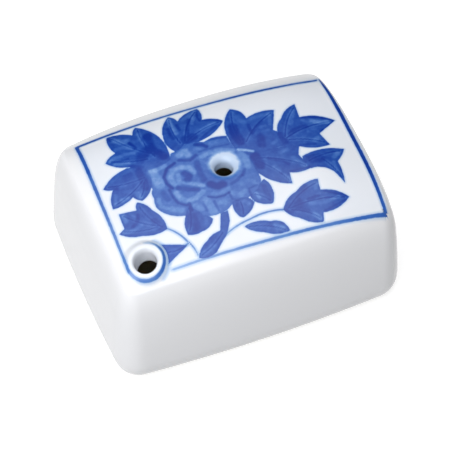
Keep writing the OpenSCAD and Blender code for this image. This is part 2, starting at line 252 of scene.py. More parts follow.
LEAVES = [
    [[-10, 5.8, 0.14], [-13.5, 16.6], [-14.7, 14.5], [-19.4, 16.6], [-19.2, 11.5], [-21.7, 9.9],
     [-17.8, 7.1], [-15, 5]],
    [[-15, 5.2], [-18.5, 7], [-24, 4.3], [-22.3, 3.4], [-23.7, -0.8], [-19.4, 0.3],
     [-18.1, -1.3], [-15.5, 1]],
    [[-15.8, -9.2], [-17.2, -4], [-19.1, -1.3], [-19.8, -3, 0], [-23.1, -2.4, 0],
     [-23.2, -5.9, 0], [-24.4, -6.6], [-20.5, -8.8]],
    [[-8.6, 7.2], [-9.6, 11], [-6.8, 16.6], [-5.6, 14.5], [-0.9, 16.6], [-1.2, 13],
     [2.6, 11.3], [-3.6, 7.9, 0], [-6.5, 8.2]],
    [[2.2, 4.3, 0], [2, 7.8], [4.9, 13.8, 0.16], [7, 10.3], [12.9, 10.8, 0], [10.9, 6, 0],
     [11.6, 5.2, 0], [11.5, 1.6, 0], [4.4, 1.4, 0]],
    [[11.6, 5.2], [13.5, 8.3], [17.3, 11.2, 0], [17, 7.7], [23.5, 5.4, 0], [19.3, 2.8, 0],
     [20.2, -0.3], [14.4, 0.7], [11.5, 1.5]],
    [[4.4, 1.5, 0], [11.5, 1.6, 0], [14.2, 0.6, 0], [13.4, -1.2, 0], [14.6, -4.8],
     [10.2, -4.8, 0], [9.8, -7.4], [5, -3.9], [4.4, -1]],
    [[14, -1.8], [22.5, -2, 0.05], [20.1, -4.6, 0.05], [19.6, -9.7, 0], [18.6, -6.8, -0.15],
     [14.5, -5]],
    [[6.1, -12.4], [10, -9.3], [14.8, -7.7, 0], [14.4, -10.2], [19.3, -12.8], [13.3, -14.7, 0],
     [12.8, -16.3], [8.5, -14.6]],
    [[-2.1, -13.5], [3, -13.9, 0.2], [6, -16.4], [1, -15.4]],
    [[-10.6, -6.4], [-11.8, -8], [-12.6, -11.8], [-9.8, -12, 0.15], [-7.2, -10.2],
     [-8.6, -8.8]],
    [[-2.5, -8], [-2.3, -11.2], [-1.6, -11.7], [1.4, -9.3], [0.5, -7.8]],
    [[1.2, -7.6], [1.8, -9.3], [4.7, -10.5], [5.7, -7.4], [5, -4.9], [3.2, -6.6, 0]],
    [[-18, -11.9, 0], [-13.4, -13.7, 0], [-18, -15.9, 0], [-17.6, -13.8, 0]],
    [[-5.4, -9.6, 0], [-3.9, -9.4, 0], [-4.3, -11.5, 0], [-5.6, -13.9, 0], [-6.9, -13.6, 0]],
    [[-6.3, -13], [-9.5, -14], [-12.2, -16.6], [-8.8, -16.6, 0], [-6, -14.2, 0]],
]
# Outline of the whole blossom
BLOSSOM = [
    [-15.4, 5, 0], [-10, 6.2, 0], [-9.5, 7.1, 0], [-8.8, 7.1], [-6.5, 8.2, 0.05], [-3.6, 7.8, 0],
    [-2.7, 7.4, 0], [-1.2, 7.9, 0.05], [1.8, 7.4, 0], [2.2, 4.3, 0], [3.4, 3.4, 0], [4.6, 1.4, 0],
    [4.5, -1.2, 0.05], [4.5, -3.4, 0.1], [3.8, -6, 0.1], [1.4, -7.6, 0.1], [-2.4, -8.1, 0],
    [-2.9, -8.5, 0.1], [-5.5, -9.5, 0.1], [-8.8, -8.8, 0], [-10.6, -6.6, 0], [-11.2, -7.8, 0.1],
    [-15.2, -5.7, 0.15], [-15.9, -1.8, 0.1], [-15.5, 0.4, 0],
]

# Depth of ink in the washes, how much more there is at their rims and how far in that goes
LEAF_TONE = 1.0
BLOSSOM_TONE = 0.8
LEAF_RIM = 0.12
BLOSSOM_RIM = 0.1
RIM_REACH = 0.25
PALEST = 0.3
DEEPEST = 1.4
# Widths over which a leaf's tone turns into the blossom's, on the blossom and off it
OVER_BLUR = 0.24
SIDE_BLUR = 0.2

# How strongly the strokes darken and lighten, and the softness of their edges, as a fixed part
# and a share of their half width
DARKEN = 2.0
LIGHTEN = 1.35
STROKE_SOFT = (0.12, 0.3)

# Brush strokes in the washes: change of depth, half width, then points along the stroke
BRUSH = [
    # Outer petals on the left, and the dark arc inside them
    (-0.22, 1.0, -14.3, 4.2, -14, 2.2, -13.8, 0.9), (-0.2, 0.55, -13.5, 4.4, -11.6, 4.7),
    (0.28, 0.28, -9.6, 4.6, -11.4, 3.9, -12.6, 2.2, -12.6, 0.6, -11.9, -0.9),
    # Curled petals round the heart
    (-0.2, 0.55, -11.3, -0.2, -11.6, 1.4, -10.6, 3, -9, 3.3, -7.5, 2.6, -6.8, 1.2),
    (-0.15, 0.45, -10.3, -0.3, -10, 0.9, -9.9, 1.6), (0.22, 0.7, -8.7, 1.6, -8.1, 0.6, -8.6, -0.1),
    (0.15, 0.6, -5.6, 3.2, -5.9, 1, -5.7, -1.2), (-0.22, 0.42, -9.4, -0.5, -7.8, -1.4, -6.3, -2.4),
    (0.18, 0.5, -10.9, -1.2, -9.3, -2.2, -7.6, -2.9),
    (-0.2, 0.55, -11.6, -2.2, -11.3, -3.8, -10.1, -4.8, -8.4, -4.6, -6.8, -3.7),
    (0.2, 0.25, -12.6, -1, -12.5, -3, -12, -4.6, -10.8, -5.6),
    (-0.15, 0.4, -15.2, -2.2, -15.3, -4.1, -14.4, -4.9), (-0.18, 0.6, -13.6, -5.4, -12, -6.3),
    (0.1, 0.6, -13.9, -1.2, -13.6, -3),
    # Petals at the back
    (-0.22, 0.7, -8.2, 6.1, -6.9, 6.6, -6.6, 5.6), (0.2, 0.35, -8.6, 4.9, -6.6, 4.2, -5.2, 4.9),
    (0.25, 0.35, -4.5, 7.4, -3.2, 6.9, -2.6, 6.2), (-0.08, 0.4, -4.9, 6.3, -3.9, 6),
    (-0.08, 0.5, -1.6, 6.6, 0.2, 6.7), (0.15, 0.2, -1.6, 7.6, 1.8, 7.2),
    (0.1, 0.2, -4.4, 5.5, -1.5, 5.6, 1.6, 5.3), (-0.2, 0.5, -4.3, 4.2, -2.5, 4.6, 0, 4.4, 1.8, 3.6),
    # Petals on the right and in front
    (-0.16, 0.7, 3.1, 2.6, 3.4, 0.6, 3.2, -1), (-0.6, 0.28, 2.9, 3.5, 4.3, 2.8, 5.4, 2.2),
    (0.15, 0.3, 1.6, -2.6, 2.4, -1.4), (0.28, 0.8, -4.9, -2.6, -3.9, -3.5, -2.7, -3.4),
    (0.15, 0.3, -1.2, -3.9, 0.3, -3.3, 1.3, -2.6), (-0.12, 0.4, -5.4, -4.9, -3.8, -5.2, -2, -4.7),
    (0.22, 0.2, -6.3, -5.2, -5, -5.9, -3.4, -6, -2.2, -5.6),
    (-0.12, 0.6, -1.6, -6, -0.6, -6.9, 0.6, -6.3), (-0.08, 0.6, 0.4, -4.4, 2.3, -4.3, 3.3, -5.2),
    (0.15, 0.2, -2.3, -5.6, -2.2, -7.2, -1.2, -8), (0.12, 0.2, 1.4, -7.4, 1.6, -6, 3.3, -5.7),
    (-0.16, 0.8, -6.9, -5.8, -6.6, -7.4, -6.5, -9), (-0.12, 0.6, -9.3, -6.4, -8.3, -7.4),
    (-0.12, 0.6, -4.9, -7, -3.9, -7.4), (0.25, 0.35, -10.2, -5.4, -10.3, -7),
    (0.1, 0.2, -7.6, -6, -7.6, -8.2), (0.12, 0.2, -5.6, -6.6, -5.5, -8.8),
    # Leaf at the back on the left
    (0.18, 0.9, -11, 7, -12.8, 9.6, -12.3, 13), (0.12, 1.0, -15.3, 8, -13.6, 9.5),
    (0.22, 0.3, -16, 12.9, -15.3, 11), (-0.2, 0.7, -18.4, 14.9, -17.3, 13.9, -16.3, 13.6),
    (-0.16, 0.5, -18.9, 12.3, -17.2, 12.2, -16, 11.4),
    (-0.12, 0.35, -13.7, 14.6, -13.7, 12.4, -13.2, 11),
    (-0.18, 0.4, -21, 10, -19.6, 10.4, -17.8, 10.4, -16, 10),
    (0.12, 0.16, -20.6, 9.6, -18.8, 9.2, -17.4, 9.1),
    (-0.2, 0.32, -20.2, 8.9, -18.8, 8.3, -17.6, 8), (0.1, 0.4, -17.6, 7.2, -15.6, 6),
    (0.15, 0.35, -19.3, 16, -18.9, 15.2),
    # Leaves on the left
    (0.16, 0.7, -16.6, 5.4, -16.4, 3, -16.6, 1.2), (-0.1, 0.35, -22, 5.2, -20.6, 6),
    (0.08, 0.4, -22.6, 4.2, -21.4, 3.4), (-0.15, 0.4, -20.9, 3.3, -20, 3.4),
    (-0.2, 0.5, -21.6, 0.4, -20.4, 0.3), (-0.1, 0.4, -20.4, 1.9, -19.4, 1.6),
    (-0.2, 0.5, -18.4, 0.6, -18.3, -0.4), (0.08, 0.5, -19.6, 5.2, -18.2, 5.4),
    (-0.15, 0.3, -22.9, 0.2, -22.3, 2), (-0.2, 0.5, -22.7, -3, -22.4, -4.4),
    (-0.16, 0.25, -21.2, -3.2, -20.5, -4.4), (0.12, 0.35, -21.6, -6.1, -20.6, -5.6, -19.9, -4),
    (-0.14, 0.35, -23.8, -6.8, -22, -7, -20, -6.6), (0.12, 0.6, -17.6, -6.4, -16.8, -8.4),
    (-0.06, 0.4, -19, -5.6, -18.9, -7),
    # Leaf at the back in the middle
    (-0.2, 0.42, -6.9, 16, -7, 13.6, -6.9, 11.4), (0.14, 0.4, -8, 13, -7.9, 10.4),
    (0.2, 0.9, -5.7, 9.3, -4.2, 9.4), (0.18, 0.35, -3.4, 14, -4.4, 12.2, -4.9, 10.6),
    (-0.14, 0.4, -4.6, 14.4, -3.2, 15.2, -1.8, 16), (-0.12, 0.35, -2.4, 14.4, -3.2, 12.8),
    (0.15, 0.2, -1.3, 15.6, -1.7, 14, -1.6, 13), (-0.14, 0.4, 1, 11.4, -0.6, 11, -2, 10.6),
    (0.12, 0.2, 2.2, 11.4, 0.4, 12.2, -1, 12.8), (0.1, 0.25, 0.9, 10.5, -1.2, 9.4, -3, 8.4),
    (0.12, 0.25, -6.1, 13.6, -6, 12),
    # Large leaf at the back on the right
    (0.2, 0.9, 3.8, 9.2, 3.6, 6.8, 4, 5.2), (0.16, 0.3, 6.8, 8.6, 6.7, 6.4),
    (-0.1, 0.45, 5.1, 12.6, 5.4, 10.8, 6.2, 9.5), (-0.14, 0.4, 7.8, 9.9, 9.6, 10.2, 11.6, 10.2),
    (-0.14, 0.4, 11.6, 9.4, 10.9, 7.6), (0.14, 0.35, 9.6, 8.8, 8.2, 7.9, 7, 6.6),
    (-0.12, 0.3, 10, 7.5, 8.8, 7.4), (-0.1, 0.22, 10.2, 6.3, 8.8, 6.3), (0.14, 0.8, 8, 5, 7.6, 3.2),
    (-0.14, 0.35, 10.6, 3.2, 9.6, 2.8),
    # Leaf on the right
    (0.14, 0.7, 12, 4.4, 12.2, 2.6), (0.12, 0.5, 13.8, 4, 14.8, 4.8, 17.4, 5.2),
    (-0.14, 0.5, 16.4, 9.6, 15.4, 8, 14.8, 6.6), (-0.26, 0.5, 21.9, 5.3, 20.4, 5.6, 19, 6.2),
    (-0.1, 0.3, 17.2, 6.9, 18.4, 6), (0.16, 0.2, 17.4, 7.5, 20.6, 6.8, 23.2, 5.5),
    (0.14, 0.2, 23.2, 5.2, 21.4, 4, 19.8, 3.3), (-0.16, 0.5, 18.6, 1.8, 17.8, 1.4),
    (-0.08, 0.4, 18.8, 4.2, 17.4, 3.8),
    (0.1, 0.25, 14.6, 1, 17.6, 0.5), (0.08, 0.3, 19.6, 0.6, 20, -0.1),
    # Leaves right of the blossom
    (0.2, 0.9, 5.4, 0.8, 5.6, -1.6), (0.12, 0.35, 7.6, -0.4, 9.8, -1.6, 10.8, -2.8),
    (-0.14, 0.4, 10.2, 0.3, 11.8, 0.6), (-0.14, 0.5, 8, -2.7, 8.6, -3.8),
    (-0.18, 0.45, 9.8, -6.6, 9.2, -5.2), (-0.16, 0.45, 12.2, -1.6, 13, -3, 13.6, -4),
    (0.1, 0.18, 10.6, -4.6, 14.2, -4.6), (0.14, 0.9, 15.4, -3, 17.2, -3.2),
    (-0.2, 0.45, 21, -2.6, 19.9, -3.4), (-0.14, 0.3, 19.3, -4.6, 19.2, -6.6),
    (0.12, 0.2, 20.3, -5.4, 20, -8.4), (0.1, 0.15, 14.6, -2, 22, -2.1),
    # Leaf in front on the right
    (0.16, 0.9, 7.2, -12.5, 9.6, -12), (0.08, 0.5, 9.6, -10.6, 12, -9),
    (0.14, 0.3, 11.4, -11.6, 13.6, -11.3), (-0.16, 0.35, 13.7, -9.8, 14.2, -8.6),
    (-0.18, 0.32, 17.4, -12.3, 14.6, -12.9, 11.4, -12.6), (0.08, 0.12, 13.2, -12, 17, -12.1),
    (-0.1, 0.25, 15.2, -11, 13.4, -10.9), (-0.16, 0.45, 12.3, -15.6, 11.6, -14.6),
    (0.12, 0.16, 15, -10.6, 19, -12.6), (0.1, 0.15, 18.6, -13.2, 13.6, -14.5),
    (0.1, 0.4, 10.6, -13.8, 9.4, -13.2),
    # Small leaves in front
    (-0.15, 0.4, 5, -15.6, 3.6, -14.8), (0.12, 0.9, -10.6, -8.4, -10.8, -10.8),
    (-0.06, 0.3, -8.4, -9.6, -8.6, -10.8), (-0.18, 0.4, -0.2, -8.4, 0.4, -9.2),
    (0.08, 0.6, -1.6, -9, -1.6, -11), (-0.22, 0.35, 2.5, -7.4, 2.7, -8.6),
    (0.1, 0.5, 4.4, -6.4, 4.4, -9.4), (-0.12, 0.6, -8.8, -15.4, -11.2, -16.2),
]

# Midribs of the leaves, from the base of a lobe to near its tip
MIDRIBS = [
    (-12.5, 7.5, -13.4, 15.6), (-13, 8.5, -18.6, 15.6), (-14, 7.5, -20.6, 9.9),
    (-16, 3.6, -23, 4.4), (-16.6, 3, -22.9, -0.1), (-16.4, 2.6, -18, -0.4),
    (-16.6, -8.4, -19.1, -2.3), (-17, -8, -22.4, -3.2), (-17.4, -8.1, -23.4, -6.5),
    (-7, 8.8, -7, 15.6), (-6, 9, -1.6, 15.8), (-5.4, 8.9, 1.6, 11.2),
    (4, 5, 4.8, 12.8), (5, 4.8, 12, 10.2),
    (12.6, 3.8, 16.8, 10.3), (12.8, 3.4, 22.4, 5.3), (13, 2.8, 19.4, 0.5),
    (5.4, 0.4, 13.8, -4), (5.4, -0.4, 9.5, -6.6),
    (14.8, -3.2, 21.4, -2.3), (17.4, -3.2, 19.5, -8.6),
    (7.2, -12.3, 14.2, -8.5), (7.4, -12.5, 18.4, -12.7), (7.6, -12.8, 12.4, -15.5),
    (-1.2, -13.8, 5.2, -16.1), (-10.6, -7, -12, -11), (-1, -8.4, -1.4, -11),
    (2.2, -7.6, 4.5, -9.8), (-13.8, -13.7, -17.2, -13.8), (-6.4, -13.4, -11.4, -16.2),
]
MIDRIB_BOW = 0.06
# Half width and change of depth of the pale band along a midrib, and of the rib itself
MIDRIB_BAND = (0.4, -0.13)
MIDRIB_LINE = (0.08, 0.3)

# Drawn lines, with half widths and depths of ink that change evenly along them
STEMS = [
    ([[-16, -9, 0.06], [-13.2, -13, 0.06], [-12.2, -16]], (0.17, 0.19, 0.15), (0.5, 0.6, 0.45)),
    ([[-14, -13.6, 0], [-12.9, -13.4]], (0.17, 0.17), (0.55, 0.55)),
    ([[6.3, -12.4, -0.06], [-0.5, -12.4, -0.04], [-6, -14]], (0.2, 0.19, 0.16), (0.7, 0.6, 0.5)),
]
# The frame: its back and left lines, then its right and front lines
RIM_FRAME = [
    ([[24.15, 17.1], [12, 17.15], [0, 17.2], [-12, 17.25], [-25.3, 17.3], [-25.35, 8],
      [-25.35, -4], [-25.4, -13.8]],
     (0.28, 0.32, 0.28, 0.28, 0.36, 0.34, 0.3, 0.27), (0.8, 0.95, 0.8, 0.8, 1.05, 0.9, 0.7, 0.6)),
    ([[25.05, 17.45], [25.3, 8], [25.42, -6], [25.3, -17], [12, -17], [0, -17], [-17.6, -17]],
     (0.3, 0.38, 0.4, 0.34, 0.28, 0.26, 0.2), (1.2, 1.3, 1.25, 0.85, 0.65, 0.6, 0.4)),
]
# Rings round the pour hole: the frame's printed line round the lip, then a faint line at the lip's
# foot, which is glaze pooled there and painted shade of that crease. Each gives first and last
# angle, radius, half widths and depths
SPOUT_PRINT_AND_SHADE_RINGS = [
    (176, 431, 3.55, (0.26, 0.27, 0.3, 0.3, 0.28, 0.2), (0.6, 0.65, 0.6, 0.75, 0.65, 0.05)),
    # Line at the foot of the lip: glaze pooled there, and painted shade of the crease
    (-62, 52, 4.45, (0.1, 0.16, 0.16, 0.1), (0.05, 0.24, 0.26, 0.05)),
]
# How far a film goes past its ink, how near to the middle of the pour hole the ink of washes
# and of lines may come, and how far from the two holes the sheets of the washes stay
HALO = 0.55
WASH_STOP = LIP_FOOT - 0.4
LINE_STOP = LIP_CREST + 0.1
VENT_KEEP_OUT = VENT_EDGE_R + HALO + 0.05
POUR_KEEP_OUT = LIP_FOOT + 0.2

# Furthest distance that the maths of the drawing keeps
FAR = 3.0
# Bow of an edge that has none of its own, and the points along a bowed edge
EDGE_BOW = 0.1
BOW_STEPS = 9
TURN_STEPS = 40


def bowed_path(points, side=1, closed=False):
    """Points along a path whose edges bow to their left by the shares in its points."""
    out = []
    count = len(points) if closed else len(points) - 1
    for i in range(count):
        a = np.array(points[i][:2], float)
        b = np.array(points[(i + 1) % len(points)][:2], float)
        share = side * (points[i][2] if len(points[i]) > 2 else EDGE_BOW)
        d = b - a
        for s in np.linspace(0, 1, BOW_STEPS if share else 2)[:-1]:
            out.append(a + s * d + 4 * s * (1 - s) * share * np.array([-d[1], d[0]]))
    if not closed:
        out.append(np.array(points[-1][:2], float))
    return np.array(out)


def outline(points):
    """Closed outline whose edges bow outwards."""
    p = np.array([q[:2] for q in points], float)
    turn = np.sum(p[:, 0] * np.roll(p[:, 1], -1) - p[:, 1] * np.roll(p[:, 0], -1))
    return bowed_path(points, -np.sign(turn), closed=True)


def close_to(p, path, reach=FAR):
    """Which points are near the box that a path fills."""
    return ((p > path.min(0) - reach) & (p < path.max(0) + reach)).all(1)


def to_path(p, path, closed=False):
    """Distance of points from a path, and the place along it in whole and part edges."""
    ends = np.roll(path, -1, 0) if closed else path[1:]
    best = np.full(len(p), 1e9)
    place = np.zeros(len(p))
    for i, b in enumerate(ends):
        a = path[i]
        d = b - a
        s = np.clip(((p - a) @ d) / max(d @ d, 1e-9), 0, 1)
        off = p - a - s[:, None] * d
        gap = off[:, 0] ** 2 + off[:, 1] ** 2
        nearer = gap < best
        best = np.where(nearer, gap, best)
        place = np.where(nearer, i + s, place)
    return np.sqrt(best), place


def inside(p, path):
    """Which points lie in a closed outline."""
    odd = np.zeros(len(p), bool)
    for a, b in zip(path, np.roll(path, -1, 0)):
        if a[1] != b[1]:
            crosses = (a[1] > p[:, 1]) != (b[1] > p[:, 1])
            odd ^= crosses & (p[:, 0] < a[0] + (p[:, 1] - a[1]) * (b[0] - a[0]) / (b[1] - a[1]))
    return odd


def signed(p, path):
    """Distance into a closed outline, negative outside it and no further than FAR."""
    out = np.full(len(p), -FAR)
    near = close_to(p, path)
    q = p[near]
    gap, _ = to_path(q, path, closed=True)
    out[near] = np.where(inside(q, path), gap, -np.minimum(gap, FAR))
    return out


TURN = np.array([
    [math.cos(PRINT_TURN), math.sin(PRINT_TURN)], [-math.sin(PRINT_TURN), math.cos(PRINT_TURN)]
])


def to_print(p):
    """Points of the plan in the print's own frame."""
    return (np.asarray(p) - PRINT_AT) @ TURN.T


def from_print(uv):
    return PRINT_AT + np.asarray(uv) @ TURN


def even(path, step):
    """Points at even steps along a path, its corners kept."""
    out = [path[0]]
    for a, b in zip(path[:-1], path[1:]):
        count = max(1, round(float(np.hypot(*(b - a))) / step))
        out += [a + (b - a) * k / count for k in range(1, count + 1)]
    return np.array(out)


def along(path):
    """Share of a path's length at each of its points."""
    run = np.r_[0, np.cumsum(np.hypot(*np.diff(path, axis=0).T))]
    return run / run[-1]


def round_spout(first, last, radius):
    t = np.radians(np.linspace(first, last, TURN_STEPS))
    return POUR_UV + radius * np.c_[np.cos(t), np.sin(t)]


POUR_UV = to_print(POUR[None])[0]
leaf_paths = [outline(points) for points in LEAVES]
blossom_path = outline(BLOSSOM)
stem_lines = [(bowed_path(path), halves, depths) for path, halves, depths in STEMS]
frame_and_lip_shade_lines = [(np.array(path, float), halves, depths) for path, halves, depths in RIM_FRAME]
# The rings round the pour hole join the frame lines, together with the painted shade line at the
# foot of the lip.
frame_and_lip_shade_lines += [
    (round_spout(first, last, radius), halves, depths)
    for first, last, radius, halves, depths in SPOUT_PRINT_AND_SHADE_RINGS
]
brush_paths = [
    (np.array(points, float).reshape(-1, 2), half, change) for change, half, *points in BRUSH
]
for x0, y0, x1, y1 in MIDRIBS:
    rib = bowed_path([[x0, y0, MIDRIB_BOW], [x1, y1]])
    brush_paths += [(rib, *MIDRIB_BAND), (rib, *MIDRIB_LINE)]


def knots_of(path, halves):
    """Shares of a path's length at which its half widths and depths are given."""
    return along(path) if len(halves) == len(path) else np.linspace(0, 1, len(halves))


def line_edges(uv, line):
    """Signed distance into a drawn line and its depth of ink, which vary along it."""
    path, halves, depths = line
    knots = knots_of(path, halves)
    near = close_to(uv, path)
    gap, place = to_path(uv[near], path)
    share = np.interp(place, np.arange(len(path)), along(path))
    reach = np.full(len(uv), -FAR)
    ink = np.zeros(len(uv))
    reach[near] = np.interp(share, knots, halves) - gap
    ink[near] = np.interp(share, knots, depths)
    return reach, ink


def smooth(x):
    x = np.clip(x, 0, 1)
    return x * x * (3 - 2 * x)


def brushed(uv):
    """Change of depth that the brush strokes make in the washes."""
    total = np.zeros(len(uv))
    for path, half, change in brush_paths:
        soft = STROKE_SOFT[0] + STROKE_SOFT[1] * half
        near = close_to(uv, path, half + soft)
        gap, _ = to_path(uv[near], path)
        strength = change * (DARKEN if change > 0 else LIGHTEN)
        total[near] += strength * smooth((half + soft - gap) / (2 * soft))
    return total


def into_leaf(uv):
    return np.max([signed(uv, path) for path in leaf_paths], 0)


def ink_at(uv):
    """What is printed at points of the print: distance into the washes, their tone, distance
    into the lines and their depth."""
    leaf = into_leaf(uv)
    blossom = signed(uv, blossom_path)
    deep = LEAF_TONE + LEAF_RIM * np.exp(-np.clip(leaf, 0, None) / RIM_REACH)
    pale = BLOSSOM_TONE + BLOSSOM_RIM * np.exp(-np.clip(blossom, 0, None) / RIM_REACH)
    over = smooth(leaf / OVER_BLUR + 0.5)
    nearer_leaf = smooth((leaf - blossom) / SIDE_BLUR + 0.5)
    tone = pale + (deep - pale) * np.where(blossom > 0, over, nearer_leaf)
    to_vent = np.hypot(*(from_print(uv) - BARE_AT).T) - BARE_R
    tone = np.clip(tone + brushed(uv), PALEST, DEEPEST) * smooth(0.5 + to_vent / BARE_FADE)
    line = np.full(len(uv), -3 * FAR)
    depth = np.zeros(len(uv))
    for drawn in stem_lines + frame_and_lip_shade_lines:
        reach, ink = line_edges(uv, drawn)
        nearer = reach > line
        line = np.where(nearer, reach, line)
        depth = np.where(nearer, ink, depth)
    return np.maximum(leaf, blossom), tone, line, depth


def mark_ink(mesh, dish_alone):
    """Writes what is printed at each vertex into the mesh, for its finish to read."""
    co = np.zeros(len(mesh.vertices) * 3, np.float32)
    mesh.vertices.foreach_get("co", co)
    places = co.reshape(-1, 3)[:, :2]
    edge, tone, line, depth = ink_at(to_print(places))
    to_spout = np.hypot(*(places - POUR).T)
    edge = np.minimum(edge, to_spout - WASH_STOP)
    line = np.where(to_spout < LINE_STOP, -FAR, line)
    if dish_alone:
        away = np.hypot(*(places - VENT).T) > VENT_EDGE_R + 2 * HALO
        edge, line = np.where(away, -FAR, edge), np.full(len(line), -FAR)
    for name, value in (("edge", edge), ("tone", tone), ("line", line), ("depth", depth)):
        layer = mesh.attributes.new(name, "FLOAT", "POINT")
        layer.data.foreach_set("value", np.clip(value, -FAR, FAR).astype(np.float32))


# Finishes

class Sock:
    """A socket that sums, products and other maths can be written with."""

    def __init__(self, graph, socket):
        self.graph = graph
        self.socket = socket

    def maths(self, kind, *values):
        sockets = dict(enumerate((self,) + values))
        return self.graph.node("ShaderNodeMath", {"operation": kind}, sockets)[0]

    def __add__(self, other):
        return self.maths("ADD", other)

    def __sub__(self, other):
        return self.maths("SUBTRACT", other)

    def __mul__(self, other):
        return self.maths("MULTIPLY", other)

    def __truediv__(self, other):
        return self.maths("DIVIDE", other)

    __radd__ = __add__
    __rmul__ = __mul__

    def ramp(self, low, high):
        """Smooth rise from 0 at low to 1 at high."""
        return self.graph.node(
            "ShaderNodeMapRange", {"interpolation_type": "SMOOTHSTEP"},
            {0: self, 1: low, 2: high, 3: 0.0, 4: 1.0},
        )[0]


class Graph:
    """Nodes of one material."""

    def __init__(self, name):
        self.material = bpy.data.materials.new(name)
        self.material.use_nodes = True
        self.tree = self.material.node_tree
        self.tree.nodes.clear()

    def node(self, kind, settings=None, values=None):
        node = self.tree.nodes.new(kind)
        for key, value in (settings or {}).items():
            if key == "stops":
                elements = node.color_ramp.elements
                while len(elements) < len(value):
                    elements.new(0.5)
                for element, (place, colour) in zip(elements, value):
                    element.position = place
                    element.color = colour
            else:
                setattr(node, key, value)
        for key, value in (values or {}).items():
            socket = node.inputs[key]
            if isinstance(value, Sock):
                self.tree.links.new(value.socket, socket)
            else:
                socket.default_value = value
        return [Sock(self, socket) for socket in node.outputs]

    def attribute(self, name):
        return self.node("ShaderNodeAttribute", {"attribute_name": name})[2]

    def place(self):
        return self.node("ShaderNodeTexCoord")[3]

    def noise(self, scale, detail):
        values = {"Vector": self.place(), "Scale": scale, "Detail": detail}
        return self.node("ShaderNodeTexNoise", None, values)[0]

    def bump(self, height, strength, distance):
        return self.node(
            "ShaderNodeBump", None,
            {"Height": height, "Strength": strength, "Distance": distance},
        )[0]

    def surface(self, **values):
        sockets = {key.replace("_", " "): value for key, value in values.items()}
        shader = self.node("ShaderNodeBsdfPrincipled", None, sockets)[0]
        self.node("ShaderNodeOutputMaterial", None, {"Surface": shader})
        return self.material


def colour(r, g, b):
    """Linear colour from the values that it shows on a screen."""
    linear = [
        c / 12.92 if c <= 0.04045 else ((c + 0.055) / 1.055) ** 2.4
        for c in (r / 255, g / 255, b / 255)
    ]
    return (*linear, 1.0)


# Colour of the glaze over bare porcelain, and how fast ink takes each colour out of its light
GLAZE_WHITE = np.array(colour(240, 240, 242)[:3])
INK_PULL = np.array([3.7, 2.3, 0.8])
INK_STOPS = 8

# Roughness of the glaze with how much it varies, and its ripples: noise, height in millimetres
# and strength. A noise is given as its scale and detail.
GLAZE_IOR = 1.5
GLOSS_ROUGH = 0.14
GLOSS_UNEVEN = 0.06
UNEVEN_NOISE = (500, 2)
RIPPLE_NOISE = (260, 1)
RIPPLE_H = 0.03
RIPPLE_STRENGTH = 0.25

# Unevenness of the ink, the distances over which the edges of washes and lines fade, how far
# the edges wander, the ink in the halos about them, and the share of a wash that adds to a line
GRAIN_NOISE = (1100, 4)
CLOUD_NOISE = (260, 3)
GRAIN_SHARE = 0.45
CLOUD_SHARE = 0.35
WASH_EDGE = (-0.14, 0.12)
LINE_EDGE = (-0.12, 0.14)
WANDER = 0.2
HALO_EDGE = (-HALO, 0.05)
WASH_HALO = 0.12
LINE_HALO = 0.14
LINE_PLAIN = 0.75
LINE_CLOUD = 0.5
WASH_UNDER_LINE = 0.3

# Bare clay: its grain and clouds, how much darker the clouds are and how rough its grain is
CLAY_GRAIN = (2500, 3)
CLAY_CLOUD = (120, 2)
CLOUD_EDGE = (0.35, 0.7)
CLOUD_DARK = 0.9
CLAY_UNEVEN = 0.08
CLAY_BUMP_H = 0.04
CLAY_BUMP_STRENGTH = 0.4

# Faint blue of the glaze: everywhere, over the panel, and its clouds. The panel's fades are
# given from its middle, along and across, and in height.
GLAZE_TINGE = 0.012
PANEL_TINGE = 0.035
PANEL_CLOUD = 0.02
TINGE_NOISE = (90, 2)
PANEL_ALONG = (0.0272, 0.024)
PANEL_ACROSS = (0.019, 0.016)
PANEL_Z = (0.02, 0.023)


def ink_stops():
    """Colour of the glaze over more and more ink, as light is lost on its way through."""
    stops = []
    for share in np.linspace(0, 1, INK_STOPS):
        rgb = GLAZE_WHITE * np.exp(-INK_PULL * share * DEEPEST)
        stops.append((share, (*rgb, 1.0)))
    return stops


def gloss(g, ink):
    """Clear glossy glaze over white porcelain, with some depth of ink under it."""
    shade = g.node("ShaderNodeValToRGB", {"stops": ink_stops()}, {0: ink / DEEPEST})[0]
    ripple = g.noise(*RIPPLE_NOISE)
    rough = GLOSS_ROUGH + GLOSS_UNEVEN * g.noise(*UNEVEN_NOISE)
    return g.surface(
        Base_Color=shade, Roughness=rough, IOR=GLAZE_IOR,
        Normal=g.bump(ripple, RIPPLE_STRENGTH, RIPPLE_H * MM),
    )


def tinge(g):
    """Faint blue that the glaze takes up round the print."""
    x, y, z = g.node("ShaderNodeSeparateXYZ", None, {0: g.place()})
    off_x = (x - PRINT_AT[0] * MM).maths("ABSOLUTE")
    off_y = (y - PRINT_AT[1] * MM).maths("ABSOLUTE")
    panel = off_x.ramp(*PANEL_ALONG) * off_y.ramp(*PANEL_ACROSS) * z.ramp(*PANEL_Z)
    cloud = PANEL_CLOUD * (g.noise(*TINGE_NOISE) - 0.5)
    return GLAZE_TINGE + PANEL_TINGE * panel + cloud * panel


def plain_gloss(name):
    g = Graph(name)
    return gloss(g, tinge(g))


